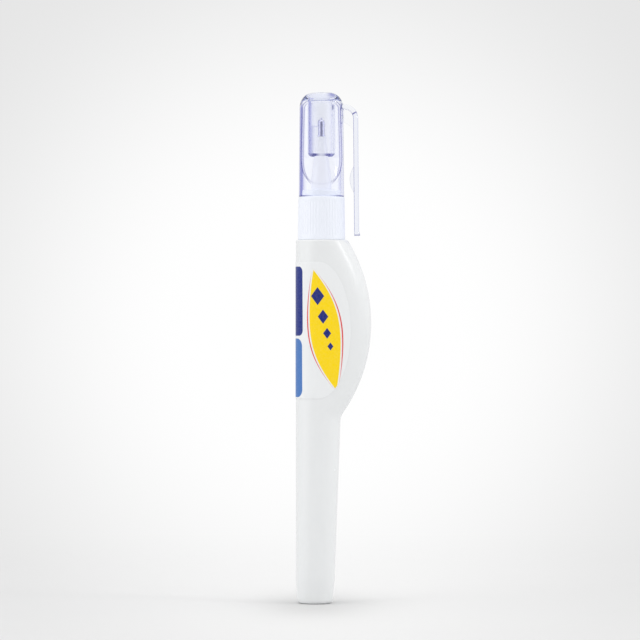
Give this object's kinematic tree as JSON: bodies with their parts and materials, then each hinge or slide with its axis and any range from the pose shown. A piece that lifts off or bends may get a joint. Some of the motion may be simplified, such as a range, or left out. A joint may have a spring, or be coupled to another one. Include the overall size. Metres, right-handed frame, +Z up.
{
  "type": "correction pen",
  "caption": "Squeeze correction pen: straight-spined bottle with a belly, ribbed collar, sprung needle tip and a clear pull-off cap with a side clip.",
  "frame": {"origin": "centre of the flat tail face on which the pen stands", "axes": "+Z up the pen to the cap, +X to the belly and the clip, -Y to the front of the picture"},
  "size_m": [0.0215, 0.0146, 0.145],
  "materials": {
    "bottle_white": "satin soft plastic",
    "label_print": "printed film",
    "collar_white": "satin bluish white",
    "nozzle_white": "satin white",
    "tip_metal": "bright metal",
    "needle_steel": "ground steel",
    "spring_steel": "drawn wire",
    "retainer_white": "plain white",
    "ball_steel": "polished steel",
    "cap_clear": "clear, faint blue-violet tint",
    "seal_soft": "translucent soft seal"
  },
  "bodies": {
    "barrel": {"squeeze_bottle": "bottle_white", "wrap_label": "label_print", "grip_collar": "collar_white", "nozzle": "nozzle_white", "metal_tip": "tip_metal", "valve_spring": "spring_steel", "spring_retainer": "retainer_white"},
    "cap": {"cap_shell": "cap_clear", "tip_seal": "seal_soft"},
    "clip": {"pocket_clip": "cap_clear"},
    "needle": {"valve_needle": "needle_steel"},
    "ball": {"mixing_ball": "ball_steel"}
  },
  "joints": [
    {"name": "cap_pull", "type": "slide", "parent": "barrel", "child": "cap", "axis": [0, 0, 1], "range_m": [0, 0.04]},
    {"name": "clip_flex", "type": "hinge", "parent": "cap", "child": "clip", "pos_m": [0.0109, 0, 0.14042], "axis": [0, -1, 0], "range_deg": [0, 5], "stiffness_Nm_per_rad": 0.25},
    {"name": "needle_press", "type": "slide", "parent": "barrel", "child": "needle", "axis": [0, 0, -1], "range_m": [0, 0.0004], "stiffness_N_per_m": 200, "springref_m": -0.001, "deforming": ["valve_spring"]},
    {"name": "ball_rattle", "type": "slide", "parent": "barrel", "child": "ball", "axis": [0, 0, 1], "range_m": [0, 0.09]}
  ]
}
